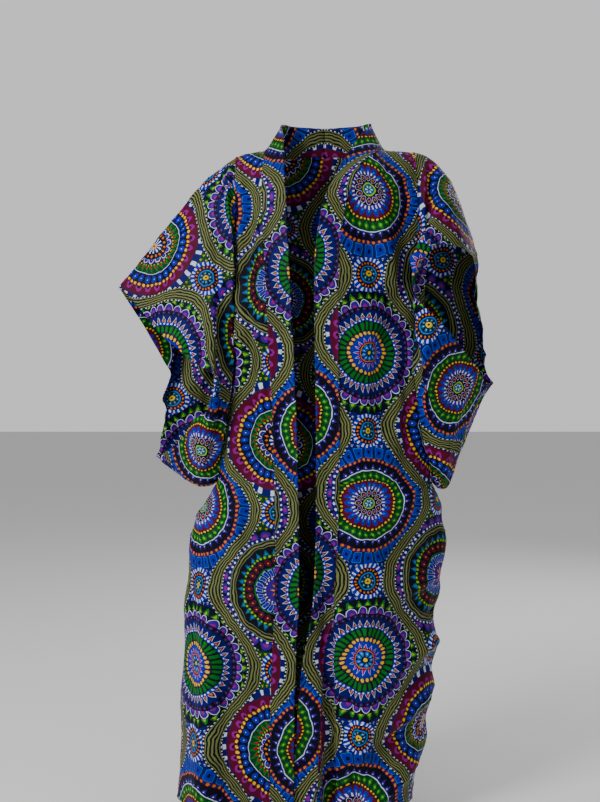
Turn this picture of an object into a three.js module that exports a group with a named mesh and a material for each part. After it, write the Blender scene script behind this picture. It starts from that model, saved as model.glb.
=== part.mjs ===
// A long kimono jacket of printed cotton, worn open and hollow: two fronts, a back, two wide sleeves, and two
// doubled edge bands that meet at the centre back and stand up round the neck.
// Millimetres. +Z is up and the front faces -Y, so the wearer's right side is at -X. The origin is the middle
// of the neck base, level with the points where the shoulder seams meet the bands: the shoulders carry it.
import * as THREE from 'three';

// Driving sizes
const clothThickness = 2;
const bandThickness = 3;
const seamGap = 0.4;
const cornerEase = { panel: 0.9, sleeve: 2.2 }; // how much further edges are drawn in where three pieces meet
const cornerReach = 30; // how far from such a corner that dies out
const sharpestPull = 3.5; // how many times further edges are drawn in where a seam folds sharply
const sharpestMitre = 1.5; // how many times further a wall's edge may be offset in such a fold
const robeLength = 1410; // from the neck point to the hem
const bandWidth = 50;
const armholeDepth = 722; // from the shoulder to the underarm
const shoulderRound = 140; // drop over which the cloth rounds from the shoulder to its full depth
const shoulderSlope = { right: 0.2, left: 0.04 }; // fall of each shoulder seam per mm: the left arm is raised
const neckHalfWidth = 128.5;
const backNeckDrop = 40; // how far the back neckline lies down the back from the shoulder line
const backNeckRise = 46; // how far the cloth climbs towards the nape
const neckSettle = 260; // drop over which that climb dies out
const armholeAngle = Math.PI / 3; // where the armhole edge sits round the upper body's ellipse
const foldFade = 90; // drop below the shoulder where the body's folds begin, and over which they grow in
const sideFade = 0.25; // angle in from the side seams over which they grow in
const sleeveFade = 0.4; // share of the sleeve over which its folds grow in
const samePlace = 0.1; // edge points closer than this are one place on a seam

// Grid steps
const shoulderRows = 6;
const armholeRows = 18;
const skirtRows = 16;
const frontColumns = 12;
const shoulderColumns = 6;
const neckColumns = 5;
const sleeveSteps = 11;
const bandSteps = 2;
const hemRow = armholeRows + skirtRows;

const WINE = 0x53204f;
const ROYAL = 0x1d2a8c;
const LEAF = 0x1f6b3a;

// The body at each drop below the neck point: the x of its right and left sides, and its depth to front and
// back.
const bodySections = [
  { drop: 0, right: -189, left: 200, front: 112, back: 96 },
  { drop: 250, right: -191, left: 202, front: 134, back: 106 },
  { drop: 500, right: -197, left: 208, front: 128, back: 100 },
  { drop: 640, right: -213, left: 222, front: 124, back: 100 },
  { drop: 722, right: -230, left: 237, front: 125, back: 104 },
  { drop: 745, right: -239, left: 246, front: 127, back: 106 },
  { drop: 780, right: -262, left: 262, front: 129, back: 109 },
  { drop: 840, right: -285, left: 265, front: 131, back: 112 },
  { drop: 900, right: -292, left: 263, front: 133, back: 114 },
  { drop: 985, right: -298, left: 248, front: 136, back: 117 },
  { drop: 1075, right: -303, left: 244, front: 139, back: 120 },
  { drop: 1175, right: -307, left: 240, front: 142, back: 123 },
  { drop: 1260, right: -312, left: 228, front: 145, back: 126 },
  { drop: 1410, right: -320, left: 192, front: 150, back: 130 },
];

// Where the band is sewn to each front, as an x at each drop.
const bandSeams = {
  right: [
    { drop: 0, x: -123 },
    { drop: 60, x: -131 },
    { drop: 150, x: -128 },
    { drop: 330, x: -119 },
    { drop: 650, x: -105 },
    { drop: 950, x: -102 },
    { drop: 1100, x: -109 },
    { drop: 1260, x: -112 },
    { drop: 1410, x: -113 },
  ],
  left: [
    { drop: 0, x: 134 },
    { drop: 30, x: 112 },
    { drop: 65, x: 84 },
    { drop: 110, x: 61 },
    { drop: 170, x: 42 },
    { drop: 260, x: 30 },
    { drop: 650, x: 33 },
    { drop: 950, x: 28 },
    { drop: 1100, x: 4 },
    { drop: 1210, x: -6 },
    { drop: 1300, x: -12 },
    { drop: 1410, x: -17 },
  ],
};

// How far each band's free edge lies inside its front: towards the hem the left one passes behind the right.
const edgeSetBack = {
  right: [
    { drop: 0, back: 0 },
    { drop: 1410, back: 0 },
  ],
  left: [
    { drop: 0, back: 0 },
    { drop: 1100, back: 0 },
    { drop: 1240, back: 8 },
    { drop: 1410, back: 9 },
  ],
};

// The band's free edge near the neck, by the distance along its seam from the shoulder: below 0 it is on the
// collar towards the nape, and above 0 on the front, where it joins the front's own surface after the last row.
const neckArc = 150;
const collarJoin = 150;
const collarEdges = {
  right: [
    { along: -neckArc, x: 5.5, y: 54, z: 64 },
    { along: -75, x: -62, y: 42, z: 65 },
    { along: 0, x: -90, y: 2, z: 58 },
    { along: 20, x: -86, y: -40, z: 24 },
    { along: 50, x: -83, y: -78, z: -34 },
    { along: 100, x: -81, y: -108, z: -94 },
  ],
  left: [
    { along: -neckArc, x: 5.5, y: 54, z: 64 },
    { along: -75, x: 76, y: 42, z: 66 },
    { along: 0, x: 104, y: 2, z: 60 },
    { along: 20, x: 78, y: -38, z: 24 },
    { along: 50, x: 44, y: -76, z: -34 },
    { along: 100, x: 14, y: -108, z: -94 },
  ],
};

// The body's large folds: each a soft trough (depth below 0) or ridge from one point of the panel to another.
const bodyFolds = {
  front: [
    { x0: 14, z0: -700, x1: 31, z1: -1420, width: 24, depth0: -12, depth1: -40 },
    { x0: 78, z0: -760, x1: 84, z1: -1420, width: 42, depth0: 4, depth1: 16 },
    { x0: 150, z0: -300, x1: 138, z1: -600, width: 26, depth0: -12, depth1: -16 },
    { x0: 150, z0: -872, x1: 240, z1: -816, width: 34, depth0: -14, depth1: -10 },
    { x0: 166, z0: -1000, x1: 236, z1: -950, width: 34, depth0: -12, depth1: -8 },
    { x0: 58, z0: -1370, x1: 138, z1: -1262, width: 36, depth0: -16, depth1: -16 },
    { x0: 138, z0: -1262, x1: 210, z1: -1226, width: 34, depth0: -16, depth1: -8 },
    { x0: 140, z0: -1040, x1: 150, z1: -1400, width: 34, depth0: 5, depth1: 12 },
    { x0: -222, z0: -820, x1: -236, z1: -1420, width: 36, depth0: 5, depth1: 15 },
    { x0: -168, z0: -860, x1: -166, z1: -1420, width: 28, depth0: -5, depth1: -14 },
    { x0: -140, z0: -240, x1: -150, z1: -620, width: 34, depth0: 4, depth1: 9 },
  ],
  back: [
    { x0: -120, z0: -330, x1: -140, z1: -1420, width: 34, depth0: -7, depth1: -24 },
    { x0: -52, z0: -420, x1: -66, z1: -1420, width: 38, depth0: 6, depth1: 22 },
    { x0: 22, z0: -300, x1: 6, z1: -1420, width: 32, depth0: -7, depth1: -26 },
    { x0: 88, z0: -450, x1: 74, z1: -1420, width: 38, depth0: 6, depth1: 20 },
    { x0: 150, z0: -360, x1: 132, z1: -1420, width: 30, depth0: -8, depth1: -20 },
    { x0: -205, z0: -780, x1: -222, z1: -1420, width: 36, depth0: 5, depth1: 16 },
    { x0: 205, z0: -800, x1: 176, z1: -1420, width: 32, depth0: 4, depth1: 12 },
  ],
};

// Each sleeve beyond its armhole, one row for each ring. A ring passes through eight points: the top fold,
// three down the front, the underarm seam, and three up the back. Each point is [x, y, z].
const ringPoints = [
  'top', 'frontHigh', 'frontMiddle', 'frontLow', 'bottom', 'backLow', 'backMiddle', 'backHigh',
];
const sleeveRings = {
  right: [
    {
      ring: 'upper arm',
      top: [-272, 0, -80], frontHigh: [-242, -78, -215], frontMiddle: [-226, -108, -360],
      frontLow: [-228, -110, -555], bottom: [-274, 0, -731], backLow: [-292, 60, -590],
      backMiddle: [-270, 86, -400], backHigh: [-266, 70, -220],
    },
    {
      ring: 'elbow',
      top: [-362, 0, -190], frontHigh: [-302, -68, -300], frontMiddle: [-252, -116, -418],
      frontLow: [-228, -128, -540], bottom: [-316, 12, -706], backLow: [-338, 55, -600],
      backMiddle: [-320, 80, -455], backHigh: [-330, 58, -310],
    },
    {
      ring: 'cuff',
      top: [-447, 0, -297], frontHigh: [-371, -35, -374], frontMiddle: [-290, -84, -456],
      frontLow: [-212, -112, -530], bottom: [-354, 26, -664], backLow: [-353, 50, -590],
      backMiddle: [-340, 60, -500], backHigh: [-390, 38, -395],
    },
  ],
  left: [
    {
      ring: 'upper arm',
      top: [256, -10, -34], frontHigh: [228, -90, -180], frontMiddle: [204, -108, -365],
      frontLow: [220, -104, -560], bottom: [274, -16, -731], backLow: [282, 58, -595],
      backMiddle: [281, 82, -400], backHigh: [274, 62, -202],
    },
    {
      ring: 'elbow',
      top: [293, -44, -118], frontHigh: [210, -130, -190], frontMiddle: [190, -146, -335],
      frontLow: [230, -130, -500], bottom: [296, -20, -652], backLow: [324, 50, -545],
      backMiddle: [334, 72, -400], backHigh: [326, 32, -245],
    },
    {
      ring: 'cuff',
      top: [312, -90, -241], frontHigh: [228, -142, -228], frontMiddle: [180, -166, -318],
      frontLow: [262, -136, -405], bottom: [353, -28, -506], backLow: [363, 30, -464],
      backMiddle: [353, 56, -390], backHigh: [338, 14, -304],
    },
  ],
};

// The sleeves' large folds, from one place to another: along is the share from armhole to cuff, and round
// runs from -1 at the underarm through the front to 0 at the top fold, and through the back to 1.
const sleeveSpan = { along: 400, round: 620 }; // mm that a share of 1 stands for, for the folds' widths
const sleeveFolds = {
  right: [
    { along0: 0.35, round0: -0.1, along1: 1, round1: -0.3, width: 44, depth0: -6, depth1: -10 },
    { along0: 0.3, round0: -0.3, along1: 0.9, round1: -0.56, width: 46, depth0: 6, depth1: 10 },
    { along0: 0.3, round0: -0.76, along1: 0.9, round1: -0.74, width: 46, depth0: -8, depth1: -12 },
    { along0: 0.2, round0: 0.3, along1: 1, round1: 0.62, width: 50, depth0: -8, depth1: -14 },
    { along0: 0.25, round0: 0.6, along1: 1, round1: 0.84, width: 46, depth0: 8, depth1: 10 },
  ],
  left: [
    { along0: 0.3, round0: -0.14, along1: 0.9, round1: -0.1, width: 40, depth0: -6, depth1: -8 },
    { along0: 0.25, round0: -0.34, along1: 0.62, round1: -0.6, width: 46, depth0: -8, depth1: -12 },
    { along0: 0.35, round0: -0.8, along1: 0.9, round1: -0.7, width: 44, depth0: 8, depth1: 8 },
    { along0: 0.2, round0: 0.25, along1: 0.9, round1: 0.5, width: 50, depth0: -10, depth1: -12 },
    { along0: 0.3, round0: 0.56, along1: 0.9, round1: 0.78, width: 46, depth0: 8, depth1: 10 },
  ],
};

const clamp01 = (t) => Math.min(1, Math.max(0, t));
const smooth = (t) => clamp01(t) ** 2 * (3 - 2 * clamp01(t));
const lerp = (a, b, t) => a + (b - a) * t;

// A column of a table at a key, on a smooth curve through its rows.
function lookUp(rows, key, column, at) {
  let i = 0;
  while (i < rows.length - 2 && at > rows[i + 1][key]) i++;
  const slope = (k) => {
    const a = rows[Math.max(0, k - 1)];
    const b = rows[Math.min(rows.length - 1, k + 1)];
    return (b[column] - a[column]) / (b[key] - a[key]);
  };
  const [a, b] = [rows[i], rows[i + 1]];
  const span = b[key] - a[key];
  const t = clamp01((at - a[key]) / span);
  const rise = b[column] - a[column];
  const start = slope(i) * span;
  const end = slope(i + 1) * span;
  return a[column] + t * start + t * t * (3 * rise - 2 * start - end) + t ** 3 * (start + end - 2 * rise);
}

// The height of a trough or ridge at a point near its line, growing from its first depth to its last.
function foldHeight(fold, px, py, x0, y0, x1, y1) {
  const [dx, dy] = [x1 - x0, y1 - y0];
  const t = clamp01(((px - x0) * dx + (py - y0) * dy) / (dx * dx + dy * dy));
  const away = Math.hypot(px - x0 - t * dx, py - y0 - t * dy) / fold.width;
  return lerp(fold.depth0, fold.depth1, t) * Math.exp(-away * away);
}

const body = (column, drop) => lookUp(bodySections, 'drop', column, drop);
const middleX = (drop) => (body('right', drop) + body('left', drop)) / 2;
const roundOver = (drop) => Math.sqrt(1 - (1 - clamp01(drop / shoulderRound)) ** 2);
const armholeOpen = (drop) => Math.sqrt(1 - clamp01(drop / armholeDepth) ** 6);
const edgeAngle = (drop) => Math.PI / 2 - (Math.PI / 2 - armholeAngle) * armholeOpen(drop);
const halfWidth = (drop) => (body('left', drop) - body('right', drop)) / 2 / Math.sin(edgeAngle(drop));

// A point of the unfolded body. The angle is signed: below 0 on the wearer's right. Face is front or back.
function bodyForm(face, angle, drop) {
  const x = middleX(drop) + halfWidth(drop) * Math.sin(angle);
  const out = face === 'front' ? -1 : 1;
  const y = out * body(face, drop) * roundOver(drop) * Math.cos(angle);
  const fromNeck = Math.abs(x - middleX(0)) - neckHalfWidth;
  const nape = Math.max(0, 1 - ((x - middleX(0)) / neckHalfWidth) ** 2);
  const slope = x < middleX(0) ? shoulderSlope.right : shoulderSlope.left;
  const shoulder = fromNeck > 0 ? -slope * fromNeck : backNeckRise * nape;
  return new THREE.Vector3(x, y, shoulder * (1 - smooth(drop / neckSettle)) - drop);
}

// The same point with the folds, which die out at the side seams and shoulders.
function bodyPoint(face, angle, drop) {
  const p = bodyForm(face, angle, drop);
  const out = face === 'front' ? -1 : 1;
  const across = Math.sin(angle) / halfWidth(drop);
  const outward = new THREE.Vector3(across, (out * Math.cos(angle)) / body(face, drop), 0).normalize();
  const fade = smooth(drop / foldFade - 1) * smooth((edgeAngle(drop) - Math.abs(angle)) / sideFade);
  let height = 0;
  for (const f of bodyFolds[face]) height += foldHeight(f, p.x, p.z, f.x0, f.z0, f.x1, f.z1);
  return p.addScaledVector(outward, height * fade);
}

const angleAtX = (x, drop) => Math.asin((x - middleX(drop)) / halfWidth(drop));

// The drops of the rows: closer together where the cloth rounds over the shoulder and round the underarm.
const drops = [];
for (let j = 0; j <= hemRow; j++) {
  const below = (j - shoulderRows) / (armholeRows - shoulderRows);
  if (j <= shoulderRows) drops.push(shoulderRound * (1 - Math.cos((j / shoulderRows) * (Math.PI / 2))));
  else if (j <= armholeRows) drops.push(lerp(shoulderRound, armholeDepth, Math.sin((below * Math.PI) / 2)));
  else drops.push(lerp(armholeDepth, robeLength, (j - armholeRows) / skirtRows));
}

const sign = { right: -1, left: 1 };

// A front, from its band seam (i = 0) to its side, and from the shoulder (j = 0) to the hem.
function frontPoint(side, i, j) {
  const drop = drops[j];
  const seam = angleAtX(lookUp(bandSeams[side], 'drop', 'x', drop), drop);
  return bodyPoint('front', lerp(seam, sign[side] * edgeAngle(drop), i / frontColumns), drop);
}

// The back's columns run from its right side to its left, as angles at the top row.
const neckAngle = Math.asin(neckHalfWidth / halfWidth(0));
const backAngles = [];
for (let k = -shoulderColumns - neckColumns; k <= shoulderColumns + neckColumns; k++) {
  const past = Math.abs(k) - neckColumns;
  const onNeck = (neckAngle * Math.abs(k)) / neckColumns;
  backAngles.push(Math.sign(k) * (past > 0 ? lerp(neckAngle, armholeAngle, past / shoulderColumns) : onNeck));
}

function backPoint(i, j) {
  const across = Math.sin(backAngles[i]) * (halfWidth(0) / neckHalfWidth);
  const start = backNeckDrop * Math.sqrt(Math.max(0, 1 - across ** 2));
  const drop = drops[j] + start * (1 - drops[j] / robeLength);
  return bodyPoint('back', (backAngles[i] / armholeAngle) * edgeAngle(drop), drop);
}

// An edge band, from its seam (i = 0) to its free edge, and from the nape (j = 0) round to the hem.
function bandPoint(side, i, j) {
  const middle = shoulderColumns + neckColumns;
  const row = j - neckColumns;
  const base = row <= 0 ? backPoint(middle + sign[side] * j, 0) : frontPoint(side, 0, row);
  const along = row <= 0 ? (neckArc * row) / neckColumns : drops[row];
  const drop = Math.max(along, collarJoin);
  const x = lookUp(bandSeams[side], 'drop', 'x', drop) - sign[side] * bandWidth;
  const edge = bodyPoint('front', angleAtX(x, drop), drop);
  edge.y += lookUp(edgeSetBack[side], 'drop', 'back', drop);
  if (along < collarJoin) {
    const rows = [...collarEdges[side], { along: collarJoin, x: edge.x, y: edge.y, z: edge.z }];
    edge.set(...['x', 'y', 'z'].map((axis) => lookUp(rows, 'along', axis, along)));
  }
  return base.lerp(edge, i / bandSteps);
}

// A grid of points with the outward direction at each. A ring closes on itself in j.
function makeGrid(name, colour, thickness, columns, rows, flip, ring, pointAt) {
  const points = [];
  for (let i = 0; i <= columns; i++) {
    points.push([]);
    for (let j = 0; j < rows + (ring ? 0 : 1); j++) points[i].push(pointAt(i, j));
  }
  const grid = { name, colour, thickness, ring, points };
  grid.normals = points.map((line, i) =>
    line.map((_, j) => {
      const last = line.length - 1;
      const up = points[Math.min(i + 1, points.length - 1)][j];
      const down = points[Math.max(i - 1, 0)][j];
      const next = ring ? line[(j + 1) % line.length] : line[Math.min(j + 1, last)];
      const before = ring ? line[(j + last) % line.length] : line[Math.max(j - 1, 0)];
      // At a shoulder seam the other half of the body goes on as a mirror image of this one.
      const overShoulder = !ring && j === 0 && Math.abs(line[0].y) < samePlace;
      const back = overShoulder ? new THREE.Vector3(next.x, -next.y, next.z) : before;
      const along = new THREE.Vector3().subVectors(up, down);
      return new THREE.Vector3().subVectors(next, back).cross(along).multiplyScalar(flip).normalize();
    }),
  );
  return grid;
}

// Moves each point of a grid along its direction by the height of the folds there.
function foldSleeve(grid, side, shares) {
  const { along, round } = sleeveSpan;
  grid.points.forEach((line, i) =>
    line.forEach((p, j) => {
      const share = i / sleeveSteps;
      let height = 0;
      for (const f of sleeveFolds[side]) {
        const place = [share * along, shares[j] * round, f.along0 * along, f.round0 * round];
        height += foldHeight(f, ...place, f.along1 * along, f.round1 * round);
      }
      p.addScaledVector(grid.normals[i][j], height * smooth(share / sleeveFade));
    }),
  );
}

// The armhole as a ring of points: down the front edge from the shoulder, then up the back edge.
function armholeRing(side) {
  const lastColumn = side === 'right' ? 0 : backAngles.length - 1;
  const ring = [];
  for (let j = 0; j < armholeRows; j++) ring.push(frontPoint(side, frontColumns, j));
  for (let j = armholeRows; j > 0; j--) ring.push(backPoint(lastColumn, j));
  return ring;
}

// How far round each armhole point is, as a signed share: 0 at the top, -1 or 1 at the underarm.
function ringShares(ring) {
  const shares = [0];
  const half = ring.length / 2;
  const step = (j) => ring[j % ring.length].distanceTo(ring[(j + 1) % ring.length]);
  let front = 0;
  for (let j = 0; j < half; j++) front += step(j);
  let gone = 0;
  for (let j = 0; j < half; j++) shares.push(-(gone += step(j)) / front);
  let back = 0;
  for (let j = half; j < ring.length; j++) back += step(j);
  gone = 0;
  for (let j = half; j < ring.length - 1; j++) shares.push(1 - (gone += step(j)) / back);
  return shares;
}

// A sleeve ring's point at a signed share round it, on a closed curve through its named points.
function ringPoint(row, share) {
  const at = share <= 0 ? -share * 4 : 8 - share * 4;
  const k = Math.floor(at);
  const t = at - k;
  const [a, b, c, d] = [-1, 0, 1, 2].map((n) => new THREE.Vector3(...row[ringPoints[(k + n + 8) % 8]]));
  const curve = (p, q, r, s) =>
    q + 0.5 * t * (r - p + t * (2 * p - 5 * q + 4 * r - s + t * (3 * (q - r) + s - p)));
  return new THREE.Vector3(curve(a.x, b.x, c.x, d.x), curve(a.y, b.y, c.y, d.y), curve(a.z, b.z, c.z, d.z));
}

// The weights of four evenly spaced stations on the cubic through them.
const cubicWeights = (t) => [
  ((1 - 3 * t) * (2 - 3 * t) * (1 - t)) / 2,
  (9 * t * (2 - 3 * t) * (1 - t)) / 2,
  (9 * t * (3 * t - 1) * (1 - t)) / 2,
  (t * (3 * t - 1) * (3 * t - 2)) / 2,
];

function sleeveGrid(side, colour) {
  const armhole = armholeRing(side);
  const shares = ringShares(armhole);
  const flip = side === 'right' ? 1 : -1;
  const pointAt = (i, j) => {
    const weights = cubicWeights(i / sleeveSteps);
    const p = armhole[j].clone().multiplyScalar(weights[0]);
    sleeveRings[side].forEach((row, k) => p.addScaledVector(ringPoint(row, shares[j]), weights[k + 1]));
    return p;
  };
  const name = `sleeve_${side}`;
  const grid = makeGrid(name, colour, clothThickness, sleeveSteps, armhole.length, flip, true, pointAt);
  foldSleeve(grid, side, shares);
  return grid;
}

// Edge points that share a place are a seam: their walls take one direction there, and so meet face to face.
// Each keeps how squarely its own direction meets the shared one: 1 in a flat seam, near 0 in a sharp fold.
function sewSeams(grids) {
  const places = new Map();
  for (const grid of grids) {
    grid.square = grid.points.map((line) => line.map(() => 1));
    grid.own = grid.normals.map((line) => line.map((n) => n.clone()));
    grid.points.forEach((line, i) =>
      line.forEach((p, j) => {
        const atEnd = i === 0 || i === grid.points.length - 1;
        if (!atEnd && (grid.ring || (j !== 0 && j !== line.length - 1))) return;
        const key = [p.x, p.y, p.z].map((v) => Math.round(v / samePlace)).join();
        if (!places.has(key)) places.set(key, []);
        places.get(key).push({ grid, i, j, normal: grid.normals[i][j] });
      }),
    );
  }
  for (const edges of places.values()) {
    const shared = edges.reduce((sum, edge) => sum.add(edge.normal), new THREE.Vector3()).normalize();
    for (const { grid, i, j, normal } of edges) {
      grid.square[i][j] = Math.max(1 / sharpestPull, shared.dot(normal));
      normal.copy(shared);
    }
  }
}

// The corners where three or more pieces meet: the neck points, the armhole tops and the underarms.
const corners = ['right', 'left'].flatMap((side) => [
  frontPoint(side, 0, 0),
  frontPoint(side, frontColumns, 0),
  frontPoint(side, frontColumns, armholeRows),
]);

// Draws the edges of a grid in by half the seam gap, square to the edge, and further in folds and corners.
function openSeams(grid) {
  const { points, ring, square, own } = grid;
  const old = points.map((line) => line.map((p) => p.clone()));
  const lastColumn = points.length - 1;
  const lastRow = points[0].length - 1;
  points.forEach((line, i) =>
    line.forEach((p, j) => {
      const toCorner = Math.min(...corners.map((corner) => corner.distanceTo(old[i][j])));
      const ease = (ring ? cornerEase.sleeve : cornerEase.panel) * smooth(1 - toCorner / cornerReach);
      const pull = seamGap / 2 / square[i][j] + ease;
      const draw = (inner, edgeFrom, edgeTo) => {
        const inwards = new THREE.Vector3().subVectors(edgeTo, edgeFrom).cross(own[i][j]).normalize();
        const side = Math.sign(inwards.dot(new THREE.Vector3().subVectors(inner, old[i][j])));
        p.addScaledVector(inwards, pull * side);
      };
      const rowBefore = ring ? (j + lastRow) % line.length : Math.max(0, j - 1);
      const rowAfter = ring ? (j + 1) % line.length : Math.min(lastRow, j + 1);
      const columnBefore = old[Math.max(0, i - 1)][j];
      const columnAfter = old[Math.min(lastColumn, i + 1)][j];
      if (i === 0) draw(old[1][j], old[0][rowBefore], old[0][rowAfter]);
      if (i === lastColumn) draw(old[i - 1][j], old[i][rowBefore], old[i][rowAfter]);
      if (!ring && j === 0) draw(old[i][1], columnBefore, columnAfter);
      if (!ring && j === lastRow) draw(old[i][j - 1], columnBefore, columnAfter);
    }),
  );
}

// A closed wall with the grid in its middle.
function clothWall(grid) {
  const { points, normals, ring, square, thickness } = grid;
  const columns = points.length;
  const rows = points[0].length;
  const position = [];
  for (const offset of [thickness / 2, -thickness / 2])
    points.forEach((line, i) =>
      line.forEach((p, j) => {
        const mitre = Math.min(sharpestMitre, 1 / square[i][j]);
        position.push(...p.clone().addScaledVector(normals[i][j], offset * mitre).toArray());
      }),
    );
  const at = (side, i, j) => side * columns * rows + i * rows + (j % rows);
  const faces = [];
  const quad = (a, b, c, d) => faces.push(a, b, c, a, c, d);
  const rowSpans = ring ? rows : rows - 1;
  for (let j = 0; j < rowSpans; j++) {
    for (let i = 0; i < columns - 1; i++) {
      quad(at(0, i, j), at(0, i, j + 1), at(0, i + 1, j + 1), at(0, i + 1, j));
      quad(at(1, i, j), at(1, i + 1, j), at(1, i + 1, j + 1), at(1, i, j + 1));
    }
    // A sleeve's rows climb the back half of its armhole, so its edge is split the other way there.
    if (ring && j >= rows / 2) quad(at(1, 0, j), at(1, 0, j + 1), at(0, 0, j + 1), at(0, 0, j));
    else quad(at(0, 0, j), at(1, 0, j), at(1, 0, j + 1), at(0, 0, j + 1));
    quad(at(0, columns - 1, j), at(0, columns - 1, j + 1), at(1, columns - 1, j + 1), at(1, columns - 1, j));
  }
  for (let i = 0; !ring && i < columns - 1; i++) {
    quad(at(0, i, 0), at(0, i + 1, 0), at(1, i + 1, 0), at(1, i, 0));
    quad(at(0, i, rows - 1), at(1, i, rows - 1), at(1, i + 1, rows - 1), at(0, i + 1, rows - 1));
  }
  const geometry = new THREE.BufferGeometry();
  geometry.setAttribute('position', new THREE.Float32BufferAttribute(position, 3));
  geometry.setIndex(faces);
  if (signedVolume(position, faces) < 0) geometry.setIndex(faces.reverse());
  geometry.computeVertexNormals();
  return geometry;
}

function signedVolume(position, faces) {
  const corner = (n) => new THREE.Vector3().fromArray(position, 3 * faces[n]);
  let sum = 0;
  for (let n = 0; n < faces.length; n += 3) sum += corner(n).dot(corner(n + 1).cross(corner(n + 2)));
  return sum / 6;
}

const bandRows = neckColumns + hemRow;
const grids = [
  makeGrid('back', ROYAL, clothThickness, backAngles.length - 1, hemRow, 1, false, backPoint),
  sleeveGrid('right', LEAF),
  sleeveGrid('left', LEAF),
];
for (const side of ['right', 'left']) {
  const flip = side === 'right' ? 1 : -1;
  const front = (i, j) => frontPoint(side, i, j);
  const band = (i, j) => bandPoint(side, i, j);
  grids.push(makeGrid(`front_${side}`, ROYAL, clothThickness, frontColumns, hemRow, flip, false, front));
  grids.push(makeGrid(`band_${side}`, WINE, bandThickness, bandSteps, bandRows, -flip, false, band));
}
sewSeams(grids);
grids.forEach(openSeams);

const robe = new THREE.Group();
robe.name = 'kimono_robe';
for (const grid of grids) {
  const cotton = new THREE.MeshStandardMaterial({ color: grid.colour, roughness: 0.8, metalness: 0 });
  const mesh = new THREE.Mesh(clothWall(grid), cotton);
  mesh.name = grid.name;
  robe.add(mesh);
}

export default robe;
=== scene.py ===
from functools import partial
from math import pi, radians

import bpy
import numpy as np
from bpy.props import FloatProperty, FloatVectorProperty, IntProperty, PointerProperty
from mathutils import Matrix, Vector, noise


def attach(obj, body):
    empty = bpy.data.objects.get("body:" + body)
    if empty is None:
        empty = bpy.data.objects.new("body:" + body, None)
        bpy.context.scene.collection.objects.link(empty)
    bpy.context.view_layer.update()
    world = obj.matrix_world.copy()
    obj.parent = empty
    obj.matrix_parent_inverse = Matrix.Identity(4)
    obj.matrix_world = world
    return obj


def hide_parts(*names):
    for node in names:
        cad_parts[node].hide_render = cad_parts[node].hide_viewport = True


bl_info = {
    "name": "Long Kimono Jacket",
    "version": (1, 0, 0),
    "blender": (4, 5, 0),
    "location": "View3D > Sidebar > Kimono",
    "description": "Sews up the cloth of a long open kimono jacket in printed cotton, and its plain studio",
    "category": "Add Mesh",
}

# The frame: metres, +Z up, the front faces -Y, the wearer's right side is at -X, and the origin is the middle
# of the neck base. The cut below is in millimetres, as a pattern is.
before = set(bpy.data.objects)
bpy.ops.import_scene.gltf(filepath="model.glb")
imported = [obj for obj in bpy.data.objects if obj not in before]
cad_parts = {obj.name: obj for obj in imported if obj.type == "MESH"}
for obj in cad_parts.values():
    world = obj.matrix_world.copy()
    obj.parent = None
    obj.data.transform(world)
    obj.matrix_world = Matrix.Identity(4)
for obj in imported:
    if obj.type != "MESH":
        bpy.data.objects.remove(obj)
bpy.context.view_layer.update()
METRES = 0.001

ROBE_LENGTH = 1410
BAND_WIDTH = 50
ARMHOLE_DEPTH = 722
ARMHOLE_ANGLE = pi / 3  # how far round the body the shoulder seam ends
ARMHOLE_CURVE = 6  # how long the armhole runs straight before it turns under the arm
SHOULDER_ROUND = 140
SHOULDER_SLOPE = {"right": 0.2, "left": 0.04}
SHOULDER_WIDTH = 75
FRONT_WIDTH = 200
NECK_HALF_WIDTH = 128.5
NECK_ARC = 150
NECK_SETTLE = 260
BACK_NECK_DROP = 40
BACK_NECK_RISE = 46
COLLAR_JOIN = 150
SLEEVE_ALONG = 400
SLEEVE_ROUND = 620
SIGN = {"right": -1, "left": 1}

# Where folds begin: a drop, a turn round the body in radians, or a share of the sleeve.
FOLD_FADE = 90
SIDE_FADE = 0.25
SLEEVE_FADE = 0.4
CREASE_FADE = 60
CREASE_START = 0.3
CREASE_SIDE_FADE = 0.1
SLEEVE_CREASE_FADE = 0.06

# How tight folds are eased, and how far each easing spreads over the cloth's rows.
EASING_ROUNDS = 8
EASING_TURN = 0.35
EASING_REACH = 3
EASING_BLUR = 2
EASING_STEP = 0.35

# How pieces meet.
SAME_PLACE = 0.1  # edge points closer than this are one place on a seam
OPPOSED = 0.05  # directions that add up to less than this point opposite ways, and stay as they are
SEAM_DIP_WIDTH = 4
BAND_CREASE_SHARE = 0.35  # of the cloth's creases, as the doubled band is stiffer
HEM_GROOVE = 0.7
HEM_GROOVE_WIDTH = 1.89

# The thread: 4 stitches to every 13 mm. Its ends sink into the cloth.
STITCH_PITCH = 3.2
STITCH_LENGTH = 2.5
STITCH_WIDTH = 0.5
STITCH_PROUD = 0.2
STITCH_SUNK = -0.15
STITCH_CURVE = ((0, STITCH_SUNK), (0.25, STITCH_PROUD), (0.75, STITCH_PROUD), (1, STITCH_SUNK))

# How finely the cloth is divided.
SHOULDER_ROWS = 20
ARMHOLE_ROWS = 100
EVEN_ROWS = 0.3  # the share of the armhole's rows that are evenly spaced: the rest crowd under the arm
SKIRT_ROWS = 130
FRONT_COLUMNS = 44
SHOULDER_COLUMNS = 18
NECK_COLUMNS = 28
SLEEVE_COLUMNS = 76
BAND_COLUMNS = 10
RING_POINTS = 8
UNWRAP_ROUNDS = 60
EDGE_ROWS = (0, 2, 5)  # extra rows this far from a seam or hem, where the cloth turns in
HEM_ROWS = (17, 19, 21)  # and these on either side of the stitching of a hem
HEM_WIDTH = HEM_ROWS[1]
HEM_LINE = -len(EDGE_ROWS) - 2


def table(columns, *rows):
    """Rows of numbers as one array for each named column. The first column is the key."""
    return dict(zip(columns.split(), np.array(rows, dtype=float).T))


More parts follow.
